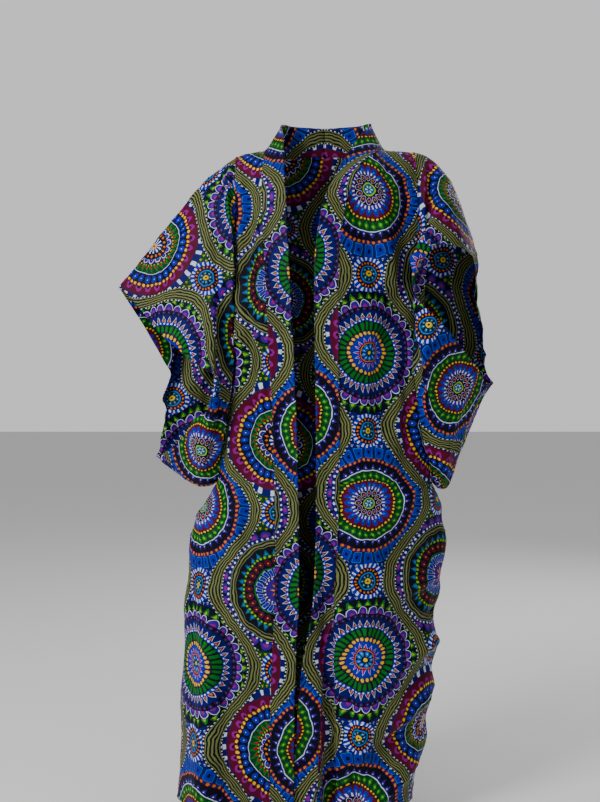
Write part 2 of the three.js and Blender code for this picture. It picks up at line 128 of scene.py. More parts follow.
def fold_table(*rows):
    """Troughs and ridges, each from a first place to a second, with its width and its depth at each."""
    return table("x0 y0 x1 y1 width depth0 depth1", *rows)


# The body at each drop below the neck point: the x of its sides, and its depth to the front and back.
BODY_SECTIONS = table(
    "drop right left front back",
    (0, -189, 200, 112, 96),
    (250, -191, 202, 134, 106),
    (500, -197, 208, 128, 100),
    (640, -213, 222, 124, 100),
    (722, -230, 237, 125, 104),
    (745, -239, 246, 127, 106),
    (780, -262, 262, 129, 109),
    (840, -285, 265, 131, 112),
    (900, -292, 263, 133, 114),
    (985, -298, 248, 136, 117),
    (1075, -303, 244, 139, 120),
    (1175, -307, 240, 142, 123),
    (1260, -312, 228, 145, 126),
    (1410, -320, 192, 150, 130),
)

# Where the band is sewn to each front.
BAND_SEAMS = {
    "right": table(
        "drop x",
        (0, -123), (60, -131), (150, -128), (330, -119), (650, -105), (950, -102), (1100, -109),
        (1260, -112), (1410, -113),
    ),
    "left": table(
        "drop x",
        (0, 134), (30, 112), (65, 84), (110, 61), (170, 42), (260, 30), (650, 33), (950, 28), (1100, 4),
        (1210, -6), (1300, -12), (1410, -17),
    ),
}

# How far each band's free edge lies inside its front: near the hem the left one passes behind the right.
EDGE_SET_BACK = {
    "right": table("drop back", (0, 0), (1410, 0)),
    "left": table("drop back", (0, 0), (1100, 0), (1240, 8), (1410, 9)),
}

# The band's free edge by the distance along its seam from the shoulder: below 0 on the collar towards the
# nape, above 0 on the front, where it joins the front's own surface after the last row.
COLLAR_EDGES = {
    "right": ((-150, 5.5, 54, 64), (-75, -62, 42, 65), (0, -90, 2, 58), (20, -86, -40, 24),
              (50, -83, -78, -34), (100, -81, -108, -94)),
    "left": ((-150, 5.5, 54, 64), (-75, 76, 42, 66), (0, 104, 2, 60), (20, 78, -38, 24),
             (50, 44, -76, -34), (100, 14, -108, -94)),
}

# The body's folds: each a soft trough (depth below 0) or ridge, its places the x and z of the panel's points.
BODY_FOLDS = {
    "front": fold_table(
        (14, -700, 31, -1420, 24, -12, -40), (78, -760, 84, -1420, 42, 4, 16),
        (150, -300, 138, -600, 26, -12, -16), (150, -872, 240, -816, 34, -14, -10),
        (166, -1000, 236, -950, 34, -12, -8), (58, -1370, 138, -1262, 36, -16, -16),
        (138, -1262, 210, -1226, 34, -16, -8), (140, -1040, 150, -1400, 34, 5, 12),
        (-222, -820, -236, -1420, 36, 5, 15), (-168, -860, -166, -1420, 28, -5, -14),
        (-140, -240, -150, -620, 34, 4, 9),
    ),
    "back": fold_table(
        (-120, -330, -140, -1420, 34, -7, -24), (-52, -420, -66, -1420, 38, 6, 22),
        (22, -300, 6, -1420, 32, -7, -26), (88, -450, 74, -1420, 38, 6, 20),
        (150, -360, 132, -1420, 30, -8, -20), (-205, -780, -222, -1420, 36, 5, 16),
        (205, -800, 176, -1420, 32, 4, 12),
    ),
}

# Each sleeve beyond its armhole: rings through eight points, which are the top fold, three down the front,
# the underarm seam, and three up the back.
SLEEVE_RINGS = {
    "right": {
        "upper arm": ((-272, 0, -80), (-242, -78, -215), (-226, -108, -360), (-228, -110, -555),
                      (-274, 0, -731), (-292, 60, -590), (-270, 86, -400), (-266, 70, -220)),
        "elbow": ((-362, 0, -190), (-302, -68, -300), (-252, -116, -418), (-228, -128, -540),
                  (-316, 12, -706), (-338, 55, -600), (-320, 80, -455), (-330, 58, -310)),
        "cuff": ((-447, 0, -297), (-371, -35, -374), (-290, -84, -456), (-212, -112, -530),
                 (-354, 26, -664), (-353, 50, -590), (-340, 60, -500), (-390, 38, -395)),
    },
    "left": {
        "upper arm": ((256, -10, -34), (228, -90, -180), (204, -108, -365), (220, -104, -560),
                      (274, -16, -731), (282, 58, -595), (281, 82, -400), (274, 62, -202)),
        "elbow": ((293, -44, -118), (210, -130, -190), (190, -146, -335), (230, -130, -500),
                  (296, -20, -652), (324, 50, -545), (334, 72, -400), (326, 32, -245)),
        "cuff": ((312, -90, -241), (228, -142, -228), (180, -166, -318), (262, -136, -405),
                 (353, -28, -506), (363, 30, -464), (353, 56, -390), (338, 14, -304)),
    },
}

# The sleeves' folds: the first number of a place is the share from armhole to cuff, and the second runs from
# -1 at the underarm through the front to 0 at the top fold, and through the back to 1.
SLEEVE_FOLDS = {
    "right": fold_table(
        (0.35, -0.1, 1, -0.3, 44, -6, -10), (0.3, -0.3, 0.9, -0.56, 46, 6, 10),
        (0.3, -0.76, 0.9, -0.74, 46, -8, -12), (0.2, 0.3, 1, 0.62, 50, -8, -14),
        (0.25, 0.6, 1, 0.84, 46, 8, 10),
    ),
    "left": fold_table(
        (0.3, -0.14, 0.9, -0.1, 40, -6, -8), (0.25, -0.34, 0.62, -0.6, 46, -8, -12),
        (0.35, -0.8, 0.9, -0.7, 44, 8, 8), (0.2, 0.25, 0.9, 0.5, 50, -10, -12),
        (0.3, 0.56, 0.9, 0.78, 46, 8, 10),
    ),
}

# The finer folds and creases of the cloth, drawn as the large ones are.
CREASES = {
    "front": fold_table(
        (-160, -90, -152, -560, 15, 7, 10), (-136, -160, -134, -640, 12, -4, -8),
        (-150, -560, -160, -840, 17, 10, 6), (-222, -860, -206, -1200, 17, 6, 10),
        (-232, -1010, -238, -1410, 13, -5, -9), (-160, -980, -156, -1410, 14, -5, -8),
        (-186, -60, -176, -420, 16, -7, -12), (-176, -420, -196, -700, 14, -12, -7),
        (-150, -40, -172, -300, 20, 5, 7), (-140, -720, -122, -1000, 16, -5, -7),
        (-190, -740, -172, -960, 18, -8, -5), (-262, -800, -236, -900, 16, -8, -3),
        (-246, -960, -258, -1410, 22, -8, -15), (-196, -1050, -204, -1410, 20, 7, 12),
        (-142, -1100, -134, -1410, 18, 7, 10), (62, -130, 118, -330, 18, 7, 8),
        (110, -110, 150, -300, 16, -7, -14), (176, -90, 168, -280, 16, 7, 8),
        (118, -420, 112, -640, 16, 7, 7), (172, -420, 182, -600, 14, 8, 10),
        (190, -600, 168, -700, 12, 8, 5), (196, -740, 128, -800, 13, -10, -7),
        (236, -860, 168, -905, 14, 10, 5), (238, -925, 160, -960, 12, -10, -7),
        (240, -1010, 150, -1040, 14, 10, 7), (236, -1070, 146, -1120, 12, -12, -7),
        (228, -1120, 132, -1190, 14, 10, 7), (222, -1190, 120, -1250, 12, -10, -8),
        (210, -1270, 100, -1330, 14, 8, 8), (196, -1330, 96, -1400, 12, -8, -8),
        (58, -700, 66, -1000, 16, -7, -8), (96, -960, 70, -1300, 16, -7, -14),
        (2, -860, 10, -1410, 12, 9, 14), (30, -700, 40, -1410, 12, -14, -20),
        (70, -1000, 78, -1410, 16, 6, 12), (52, -1080, 54, -1410, 14, 8, 15),
        (-88, -300, -78, -900, 14, 3, 5),
    ),
    "back": fold_table(
        (-150, -90, -176, -420, 20, -7, -12), (-80, -120, -110, -420, 24, 7, 7),
        (70, -100, 110, -380, 22, -7, -10), (168, -100, 176, -420, 18, -8, -12),
        (20, -160, -20, -520, 26, 7, 5), (-170, -520, -186, -760, 16, -10, -8),
        (172, -520, 186, -760, 16, -10, -8), (-92, -560, -98, -1410, 20, 7, 15),
        (-26, -600, -30, -1410, 18, -7, -15), (48, -560, 44, -1410, 18, 7, 14),
        (112, -620, 104, -1410, 18, -7, -14), (172, -760, 166, -1410, 18, 8, 12),
        (-176, -740, -176, -1410, 20, -8, -15), (-252, -840, -262, -1410, 20, -8, -14),
        (232, -820, 206, -1410, 18, -8, -12), (-238, -800, -150, -860, 16, -8, -5),
        (236, -790, 160, -850, 16, -8, -5),
    ),
}

# The side seams ripple where the skirt hangs from them, alike on the front and the back.
SIDE_RIPPLE_REACH = 3
SIDE_RIPPLES = {
    "right": table(
        "drop height",
        (722, 0), (800, 0), (860, -3), (930, 2), (1010, -3), (1100, 3), (1190, -3), (1290, 4), (1410, 2),
    ),
    "left": table(
        "drop height",
        (722, 0), (770, 1), (805, 5), (855, -4), (925, 5), (962, -4), (1015, 4), (1085, -5), (1130, 3),
        (1172, -4), (1240, 5), (1290, -3), (1352, 4), (1410, 0),
    ),
}

# The sleeves' finer folds and creases, drawn as their large ones are.
SLEEVE_CREASES = {
    "right": fold_table(
        (0.07, -0.1, 0.1, -0.5, 17, -15, -24), (0.1, -0.5, 0.1, -0.86, 17, -24, -12),
        (0.26, -0.2, 0.3, -0.74, 22, 5, 9), (0.1, 0.1, 0.2, 0.8, 24, -9, -12),
        (0.4, -0.5, 0.98, -0.38, 18, -4, -5), (0.5, -0.68, 1, -0.66, 16, 4, 5),
        (0.35, -0.88, 1, -0.86, 18, -8, -11), (0.4, 0.9, 1, 0.94, 20, -8, -11),
        (0.35, 0.74, 1, 0.72, 18, -7, -9), (0.3, 0.42, 1, 0.46, 22, 7, 8),
        (0.2, 0.12, 0.9, 0.2, 26, -5, -7), (0.2, -0.04, 0.8, -0.16, 26, 4, 5),
    ),
    "left": fold_table(
        (0.08, -0.1, 0.1, -0.46, 17, -12, -20), (0.1, -0.46, 0.1, -0.86, 17, -20, -12),
        (0.24, -0.2, 0.28, -0.7, 20, 5, 8), (0.1, 0.1, 0.2, 0.8, 24, -9, -12),
        (0.4, -0.42, 1, -0.36, 18, -7, -9), (0.4, -0.56, 1, -0.52, 16, 7, 8),
        (0.4, -0.68, 1, -0.66, 16, -7, -8), (0.3, -0.92, 1, -0.9, 18, -8, -9),
        (0.4, 0.86, 1, 0.9, 20, -8, -11), (0.35, 0.68, 1, 0.66, 18, -8, -8),
        (0.3, 0.36, 1, 0.34, 22, 8, 8), (0.2, 0.1, 0.9, 0.16, 24, -7, -8),
    ),
}

# The small creases of stiff cotton, from a noise that is the same each time: waves that run down, a crumple, a
# ripple and a few sharp lines. Each has its length in x, y and z, the start of its pattern, and its height.
SMALL_CREASES = {
    "wave": ((62, 62, 210), (0, 0, 0), 1.1),
    "crumple": ((34, 34, 46), (9, 0, 0), 0.6),
    "ripple": ((15, 15, 22), (0, 4, 0), 0.2),
    "line": ((70, 70, 120), (5, 3, 7), -0.5),
}
LINE_WIDTH = 0.1


class CottonSettings(bpy.types.PropertyGroup):
    """Sizes of the printed cotton and how it creases."""

    thickness: FloatProperty(
        name="Cloth", description="Thickness of the cloth as drawn", default=0.0012, unit="LENGTH")
    band_thickness: FloatProperty(
        name="Band", description="Thickness of the doubled edge band", default=0.0026, unit="LENGTH")
    crease_height: FloatProperty(
        name="Creases", description="Height of the small creases", default=0.0032, unit="LENGTH")
    seam_dip: FloatProperty(
        name="Seam dip", description="How far the cloth sinks into its seams", default=0.0016, unit="LENGTH")
    roughness: FloatProperty(
        name="Roughness", description="Roughness of the finished cotton", default=0.62, subtype="FACTOR")
    print_column: FloatProperty(
        name="Print column", description="Width of one column of the print", default=0.19, unit="LENGTH")
    print_repeat: FloatProperty(
        name="Print repeat", description="Height of one repeat of the print", default=0.33, unit="LENGTH")


class StudioSettings(bpy.types.PropertyGroup):
    """The floor, the lights and the camera."""

    floor_height: FloatProperty(
        name="Floor", description="Height of the floor below the neck", default=-1.46, unit="LENGTH")
    key_power: FloatProperty(name="Key light", description="Power of the main light", default=110, unit="POWER")
    fill_power: FloatProperty(name="Fill light", description="Power of the fill", default=3, unit="POWER")
    back_power: FloatProperty(
        name="Back light", description="Power of the light behind", default=45, unit="POWER")
    ceiling_power: FloatProperty(
        name="Ceiling", description="Strength of the soft light from above, in watts per square metre", default=0.9)
    air: FloatVectorProperty(
        name="Air", description="Colour of the room's light", default=(0.76, 0.76, 0.77), subtype="COLOR")
    air_share: FloatProperty(
        name="Air's light", description="Share of the air's colour that lights the cloth", default=0.22,
        subtype="FACTOR")
    camera_place: FloatVectorProperty(
        name="Camera", description="Place of the camera", default=(-0.05, -2.4, -0.548), subtype="XYZ")
    focal_px: IntProperty(
        name="Focal length", description="Focal length in pixels of an 802 pixel high picture", default=1091)


def show(name, data):
    """Puts a mesh, a light or a camera in the scene as an object at the origin."""
    made = bpy.data.objects.new(name, data)
    bpy.context.scene.collection.objects.link(made)
    return made


def mesh_object(name, points, faces):
    """Shows a mesh of points in metres."""
    mesh = bpy.data.meshes.new(name)
    mesh.from_pydata(points.reshape(-1, 3).tolist(), [], faces)
    return show(name, mesh)


def smooth(t):
    """A soft step from 0 to 1."""
    t = np.clip(t, 0, 1)
    return t * t * (3 - 2 * t)


def look_up(rows, column, at):
    """A column of a table at a drop, on a smooth curve through its rows."""
    keys, values = rows["drop"], rows[column]
    near = np.arange(len(keys))
    low, high = np.maximum(near - 1, 0), np.minimum(near + 1, len(keys) - 1)
    slopes = (values[high] - values[low]) / (keys[high] - keys[low])
    i = np.clip(np.searchsorted(keys, at) - 1, 0, len(keys) - 2)
    span = keys[i + 1] - keys[i]
    t = np.clip((at - keys[i]) / span, 0, 1)
    rise = values[i + 1] - values[i]
    start, end = slopes[i] * span, slopes[i + 1] * span
    return values[i] + t * start + t**2 * (3 * rise - 2 * start - end) + t**3 * (start + end - 2 * rise)


def fold_height(folds, px, py, x_unit=1, y_unit=1):
    """The height of all the troughs and ridges of a table at a point. Its places are in the units given."""
    height = 0
    for x0, y0, x1, y1, width, depth0, depth1 in zip(*folds.values()):
        x0, y0 = x0 * x_unit, y0 * y_unit
        dx, dy = x1 * x_unit - x0, y1 * y_unit - y0
        t = np.clip(((px - x0) * dx + (py - y0) * dy) / (dx * dx + dy * dy), 0, 1)
        away = np.hypot(px - x0 - t * dx, py - y0 - t * dy) / width
        height = height + (depth0 * (1 - t) + depth1 * t) * np.exp(-away * away)
    return height


def middle_x(drop):
    return (look_up(BODY_SECTIONS, "right", drop) + look_up(BODY_SECTIONS, "left", drop)) / 2


def edge_angle(drop):
    """How far round the body each panel reaches: to the armhole, and under it to the side seam."""
    opening = np.sqrt(1 - np.clip(drop / ARMHOLE_DEPTH, 0, 1) ** ARMHOLE_CURVE)
    return pi / 2 - (pi / 2 - ARMHOLE_ANGLE) * opening


def half_width(drop):
    across = look_up(BODY_SECTIONS, "left", drop) - look_up(BODY_SECTIONS, "right", drop)
    return across / 2 / np.sin(edge_angle(drop))


def body_point(face, angle, drop):
    """A point of the body with its large folds. The angle is signed: below 0 on the wearer's right."""
    out = -1 if face == "front" else 1
    depth = look_up(BODY_SECTIONS, face, drop)
    x = middle_x(drop) + half_width(drop) * np.sin(angle)
    round_over = np.sqrt(1 - (1 - np.clip(drop / SHOULDER_ROUND, 0, 1)) ** 2)
    y = out * depth * round_over * np.cos(angle)
    from_neck = np.abs(x - middle_x(0)) - NECK_HALF_WIDTH
    nape = np.maximum(0, 1 - ((x - middle_x(0)) / NECK_HALF_WIDTH) ** 2)
    slope = np.where(x < middle_x(0), SHOULDER_SLOPE["right"], SHOULDER_SLOPE["left"])
    shoulder = np.where(from_neck > 0, -slope * from_neck, BACK_NECK_RISE * nape)
    z = shoulder * (1 - smooth(drop / NECK_SETTLE)) - drop
    from_side = smooth((edge_angle(drop) - np.abs(angle)) / SIDE_FADE)
    height = fold_height(BODY_FOLDS[face], x, z) * smooth(drop / FOLD_FADE - 1) * from_side
    outward = np.stack([np.sin(angle) / half_width(drop), out * np.cos(angle) / depth, 0 * x], -1)
    outward /= np.linalg.norm(outward, axis=-1, keepdims=True)
    return np.stack([x, y, z], -1) + outward * height[..., None]


def angle_at_x(x, drop):
    return np.arcsin(np.clip((x - middle_x(drop)) / half_width(drop), -1, 1))


def with_edges(count, length, hem=()):
    """Even shares from 0 to 1, with the extra rows near both ends and a hem's own rows at the far one."""
    shares = np.linspace(0, 1, count + 1)
    near = np.array(EDGE_ROWS) / length
    far = np.array((*EDGE_ROWS, *hem)) / length
    # The even shares that would crowd the extra rows are left out.
    inner = shares[(shares > near[-1] * 1.5) & (shares < 1 - far[-1] - near[-1] / 2)]
    return np.concatenate([near, inner, 1 - far[::-1]])


def body_drops():
    """The drop of each row of the cloth, from the shoulder seam to the hem."""
    over = SHOULDER_ROUND * (1 - np.cos(np.linspace(0, pi / 2, SHOULDER_ROWS + 1)))
    share = np.linspace(0, 1, ARMHOLE_ROWS - SHOULDER_ROWS + 1)[1:]
    armhole = EVEN_ROWS * share + (1 - EVEN_ROWS) * np.sin(share * pi / 2)
    chest = SHOULDER_ROUND + (ARMHOLE_DEPTH - SHOULDER_ROUND) * armhole
    skirt = np.linspace(ARMHOLE_DEPTH, ROBE_LENGTH, SKIRT_ROWS + 1)[1:-1]
    hem = ROBE_LENGTH - np.array((*EDGE_ROWS, *HEM_ROWS)[::-1])
    return np.concatenate([over, chest, skirt[skirt < hem[0] - EDGE_ROWS[1]], hem])


DROPS = body_drops()
ARMHOLE_ROW = int(np.argmin(np.abs(DROPS - ARMHOLE_DEPTH)))
NECK_SHARE = float(np.arcsin(NECK_HALF_WIDTH / half_width(0)) / ARMHOLE_ANGLE)


def front_points(side):
    share, drop = np.meshgrid(with_edges(FRONT_COLUMNS, FRONT_WIDTH), DROPS, indexing="ij")
    seam = angle_at_x(look_up(BAND_SEAMS[side], "x", drop), drop)
    return body_point("front", seam * (1 - share) + SIGN[side] * edge_angle(drop) * share, drop)


def back_point(across, drop):
    """A point of the back. Across runs from -1 at its right side to 1 at its left."""
    neck = np.sin(across * ARMHOLE_ANGLE) * half_width(0) / NECK_HALF_WIDTH
    drop = drop + BACK_NECK_DROP * np.sqrt(np.maximum(0, 1 - neck**2)) * (1 - drop / ROBE_LENGTH)
    return body_point("back", across * edge_angle(drop), drop)


def neck_shares():
    """Across the back from the nape to the neck point."""
    return np.linspace(0, NECK_SHARE, NECK_COLUMNS + 1)


def back_points():
    half = with_edges(SHOULDER_COLUMNS, SHOULDER_WIDTH)
    half = np.concatenate([neck_shares(), NECK_SHARE + (1 - NECK_SHARE) * half[1:]])
    across, drop = np.meshgrid(np.concatenate([-half[:0:-1], half]), DROPS, indexing="ij")
    return back_point(across, drop)


def band_points(side):
    """The edge band from its seam to its free edge, and from the nape to the hem."""
    sign = SIGN[side]
    neck = back_point(sign * neck_shares()[:-1], np.zeros(NECK_COLUMNS))
    seam = np.concatenate([neck, front_points(side)[0]])
    along = np.concatenate([-NECK_ARC * (1 - neck_shares()[:-1] / NECK_SHARE), DROPS])
    drop = np.maximum(along, COLLAR_JOIN)
    x = look_up(BAND_SEAMS[side], "x", drop) - sign * BAND_WIDTH
    edge = body_point("front", angle_at_x(x, drop), drop)
    edge[:, 1] += look_up(EDGE_SET_BACK[side], "back", drop)
    collar = along < COLLAR_JOIN
    rows = table("drop x y z", *COLLAR_EDGES[side], (COLLAR_JOIN, *edge[collar][-1]))
    edge[collar] = np.stack([look_up(rows, axis, along[collar]) for axis in "xyz"], -1)
    share = with_edges(BAND_COLUMNS, BAND_WIDTH)[:, None, None]
    return seam * (1 - share) + edge * share


def sleeve_points(side):
    """A sleeve from its armhole to its cuff. Its rows go up the front from the underarm seam and down the back."""
    drops = DROPS[: ARMHOLE_ROW + 1]
    angle = SIGN[side] * edge_angle(drops)
    halves = [body_point(face, angle, drops) for face in ("front", "back")]
    armhole = np.concatenate([halves[0][::-1], halves[1][1:]])
    walked = [np.cumsum(np.linalg.norm(np.diff(half, axis=0), axis=1)) for half in halves]
    front, back = (np.concatenate([[0], w / w[-1]]) for w in walked)
    shares = np.concatenate([-front[::-1], back[1:]])
    at = np.where(shares <= 0, -shares, 2 - shares) * RING_POINTS / 2
    k = np.floor(at).astype(int)
    t = (at - k)[:, None]
    # Each ring is a smooth curve through its points, and the sleeve one through its four stations.
    stations = [armhole]
    for ring in SLEEVE_RINGS[side].values():
        p, q, r, s = (np.array(ring, dtype=float)[(k + n) % RING_POINTS] for n in (-1, 0, 1, 2))
        stations.append(q + 0.5 * t * (r - p + t * (2 * p - 5 * q + 4 * r - s + t * (3 * (q - r) + s - p))))
    c = with_edges(SLEEVE_COLUMNS, SLEEVE_ALONG, HEM_ROWS)[:, None, None]
    weights = (
        (1 - 3 * c) * (2 - 3 * c) * (1 - c) / 2,
        9 * c * (2 - 3 * c) * (1 - c) / 2,
        9 * c * (3 * c - 1) * (1 - c) / 2,
        c * (3 * c - 1) * (3 * c - 2) / 2,
    )
    points = sum(weight * station for weight, station in zip(weights, stations))
    along, height = c[..., 0], 0
    for folds, fade in ((SLEEVE_FOLDS[side], SLEEVE_FADE), (SLEEVE_CREASES[side], SLEEVE_CREASE_FADE)):
        height = height + smooth(along / fade) * fold_height(
            folds, along * SLEEVE_ALONG, shares * SLEEVE_ROUND, SLEEVE_ALONG, SLEEVE_ROUND)
    return folded(points, grid_normals(points, SIGN[side]), height, SIGN[side])


def grid_normals(points, flip):
    """The outward direction at each point of a grid of columns and rows."""
    after = np.concatenate([points[:, 1:], points[:, -1:]], 1)
    before = np.concatenate([points[:, :1], points[:, :-1]], 1)
    # At a shoulder seam the other half of the body goes on as a mirror image of this one.
    top = np.abs(points[:, 0, 1]) < SAME_PLACE
    before[top, 0] = after[top, 0] * (1, -1, 1)
    along = np.concatenate([points[1:], points[-1:]]) - np.concatenate([points[:1], points[:-1]])
    normals = np.cross(after - before, along) * flip
    return normals / np.maximum(1e-9, np.linalg.norm(normals, axis=-1, keepdims=True))


def spread(values, reach, axis):
    """Each value of a grid with its neighbours up to a reach added."""
    return sum(np.roll(values, n, axis) for n in range(-reach, reach + 1))


def folded(points, normals, height, flip):
    """The grid with its folds raised, and eased wherever the cloth would turn back through itself."""
    for _ in range(EASING_ROUNDS):
        moved = points + normals * height[..., None]
        turned = (grid_normals(moved, flip) * normals).sum(-1) < EASING_TURN
        turned[[0, -1]] = turned[:, [0, -1]] = False
        if not turned.any():
            break
        ease = turned.astype(float)
        for axis in (0, 1):
            ease = np.minimum(spread(ease, EASING_REACH, axis), 1)
        for axis in (0, 1):
            ease = spread(ease, EASING_BLUR, axis) / (2 * EASING_BLUR + 1)
        height = height * (1 - EASING_STEP * ease)
    return points + normals * height[..., None]


def steps(points, axis):
    """The distance walked along an axis of the grid."""
    walked = np.cumsum(np.linalg.norm(np.diff(points, axis=axis), axis=-1), axis=axis)
    first = np.zeros_like(np.take(walked, [0], axis=axis))
    return np.concatenate([first, walked], axis=axis)


def cloth_grid(points, flip):
    return {"points": points, "normals": grid_normals(points, flip), "flip": flip}


def lay_print(grid, kind, side):
    """Works out each point's place on the flat cloth, in metres."""
    points = grid["points"]
    across = steps(points, 0)
    down = np.broadcast_to(steps(points, 1)[points.shape[0] // 2], across.shape)
    if kind == "back":
        across = across - across[points.shape[0] // 2]
    if kind == "front":
        across = points[0, :, 0] + SIGN[side] * across
    grid["uv"] = np.stack([across, down], -1) * METRES
    if kind == "sleeve":
        grid["uv"] = pressed_flat(points * METRES, grid["uv"])


def pressed_flat(points, rough):
    """The places of a sheet's points once it is unwrapped with the least stretch, laid as the rough ones are."""
    columns, rows = points.shape[:2]
    i, j = np.meshgrid(np.arange(columns - 1), np.arange(rows - 1), indexing="ij")
    first = (i * rows + j).ravel()
    faces = np.stack([first, first + 1, first + rows + 1, first + rows], -1)
    sheet = mesh_object("pressing", points, faces.tolist())
    mesh = sheet.data
    mesh.uv_layers.new(name="flat")
    bpy.ops.object.select_all(action="DESELECT")
    bpy.context.view_layer.objects.active = sheet
    sheet.select_set(True)
    bpy.ops.object.mode_set(mode="EDIT")
    bpy.ops.mesh.select_all(action="SELECT")
    bpy.ops.uv.unwrap(method="MINIMUM_STRETCH", iterations=UNWRAP_ROUNDS, margin=0)
    bpy.ops.object.mode_set(mode="OBJECT")
    loops = np.empty(len(mesh.loops), dtype=np.int32)
    mesh.loops.foreach_get("vertex_index", loops)
    places = np.empty(len(loops) * 2)
    mesh.uv_layers["flat"].data.foreach_get("uv", places)
    flat = np.empty((columns * rows, 2))
    flat[loops] = places.reshape(-1, 2)
    bpy.data.objects.remove(sheet)
    flat = flat.reshape(columns, rows, 2)
    scale = (steps(points, 0)[-1].mean() + steps(points, 1)[:, -1].mean()) / (
        steps(flat, 0)[-1].mean() + steps(flat, 1)[:, -1].mean())
    flat, rough = ((p - p.mean((0, 1))).reshape(-1, 2) for p in (flat * scale, rough))
    left, _, right = np.linalg.svd(flat.T @ rough)
    return (flat @ left @ right).reshape(columns, rows, 2)


def edge_distance(points):
    """How far each point is from the nearest seam or hem, for the dip where the cloth turns in."""
    across, down = steps(points, 0), steps(points, 1)
    return np.minimum(np.minimum(across, across[-1] - across), np.minimum(down, down[:, -1:] - down))


def hem_groove(points, kind):
    """How far the stitching of a hem or cuff draws the cloth in."""
    walked = steps(points, 0 if kind == "sleeve" else 1)
    from_edge = walked[-1] - walked if kind == "sleeve" else walked[:, -1:] - walked
    return HEM_GROOVE * np.exp(-(((from_edge - HEM_WIDTH) / HEM_GROOVE_WIDTH) ** 2))


def crease_height(points):
    """The height of the small creases, about 1 at most."""
    height = np.zeros(points.shape[:-1])
    for name, (length, start, high) in SMALL_CREASES.items():
        places = (points / length + start).reshape(-1, 3).tolist()
        pattern = np.array([noise.noise(place) for place in places]).reshape(height.shape)
        if name == "line":
            pattern = np.maximum(0, 1 - np.abs(pattern) / LINE_WIDTH) ** 2
        height += high * pattern
    return height


def sew(grids):
    """Edge points that share a place take one direction, so that the pieces meet along their seams."""
    places = {}
    for grid in grids:
        points = grid["points"]
        columns, rows = points.shape[:2]
        on_edge = np.ones((columns, rows), bool)
        on_edge[1:-1, 1:-1] = False
        for i, j in zip(*np.nonzero(on_edge)):
            key = tuple(np.round(points[i, j] / SAME_PLACE).astype(int))
            places.setdefault(key, []).append((grid["normals"], i, j))
    for meeting in places.values():
        shared = sum(normals[i, j] for normals, i, j in meeting)
        length = np.linalg.norm(shared)
        if len(meeting) > 1 and length > OPPOSED:
            for normals, i, j in meeting:
                normals[i, j] = shared / length


def cloth_forms(cotton):
    """All the cut pieces in their places, sewn together and creased."""
    grids = {"back": cloth_grid(back_points(), 1)}
    for side, sign in SIGN.items():
        grids[f"front_{side}"] = cloth_grid(front_points(side), -sign)
        grids[f"band_{side}"] = cloth_grid(band_points(side), sign)
        grids[f"sleeve_{side}"] = cloth_grid(sleeve_points(side), sign)
    sew(grids.values())
    moved = {}
    for name, grid in grids.items():
        kind, _, side = name.partition("_")
        points = grid["points"]
        lay_print(grid, kind, side)
        away = edge_distance(points)
        height = crease_height(points) * cotton.crease_height / METRES
        if kind == "band":
            height = height * BAND_CREASE_SHARE
        height = height - np.exp(-((away / SEAM_DIP_WIDTH) ** 2)) * cotton.seam_dip / METRES
        if kind != "band":
            height = height - hem_groove(points, kind)
        if kind != "sleeve":
            height = height + drape_height(points, "back" if kind == "back" else "front")
        moved[name] = folded(points, grid["normals"], height, grid["flip"])
    for name, grid in grids.items():
        grid["points"] = moved[name]
        grid["normals"] = grid_normals(moved[name], grid["flip"])
    sew(grids.values())
    return grids


def drape_height(points, face):
    """The finer folds of the body, the same on both sides of a seam."""
    x, drop = points[..., 0], -points[..., 2]
    from_side = (edge_angle(drop) - np.abs(angle_at_x(x, drop))) / CREASE_SIDE_FADE
    height = fold_height(CREASES[face], x, -drop) * smooth(drop / CREASE_FADE - CREASE_START) * smooth(from_side)
    for side, sign in SIGN.items():
        rows = SIDE_RIPPLES[side]
        near = np.exp(-(from_side / SIDE_RIPPLE_REACH) ** 2) * (np.sign(x - middle_x(drop)) == sign)
        height = height + near * look_up(rows, "height", np.clip(drop, rows["drop"][0], rows["drop"][-1]))
    return height


def cloth_object(grid, thickness, name):
    """A closed wall of cloth with the grid in its middle, and the print's places as its UV map, in metres."""
    points, normals, uv = grid["points"], grid["normals"], grid["uv"]
    columns, rows = points.shape[:2]
    half = thickness / METRES / 2
    walls = np.stack([points + normals * half, points - normals * half])
    i, j = (a.ravel() for a in np.meshgrid(np.arange(columns - 1), np.arange(rows - 1), indexing="ij"))
    across, down = np.arange(columns - 1), np.arange(rows - 1)
    square = ((0, 0, 0), (0, 0, 1), (0, 1, 1), (0, 1, 0))
    faces, places = [], []
    for at_i, at_j, corners in (
        (i, j, square),
        (i, j, [(1, a, b) for _, a, b in square[::-1]]),
        (0 * down, down, ((0, 0, 0), (1, 0, 0), (1, 0, 1), (0, 0, 1))),
        (0 * down + columns - 1, down, ((0, 0, 1), (1, 0, 1), (1, 0, 0), (0, 0, 0))),
        (across, 0 * across, ((0, 0, 0), (0, 1, 0), (1, 1, 0), (1, 0, 0))),
        (across, 0 * across + rows - 1, ((1, 0, 0), (1, 1, 0), (0, 1, 0), (0, 0, 0))),
    ):
        faces.append(np.stack([(w * columns + at_i + a) * rows + at_j + b for w, a, b in corners], -1))
        places.append(np.stack([uv[at_i + a, at_j + b] for _, a, b in corners], 1))
    faces, places = np.concatenate(faces), np.concatenate(places)
    if grid["flip"] < 0:
        faces, places = faces[:, ::-1], places[:, ::-1]
    made = mesh_object(name, walls * METRES, faces.tolist())
    made.data.uv_layers.new(name="cloth").data.foreach_set("uv", places.ravel())
    made.data.shade_smooth()
    return made


def stitch_lines(grid, kind):
    """The lines of topstitching on a piece: the points and the outward directions along each."""
    at = {"band": [(1,), (-2,)], "sleeve": [(HEM_LINE,)]}.get(kind, [(slice(None), HEM_LINE)])
    return [(grid["points"][place], grid["normals"][place]) for place in at]


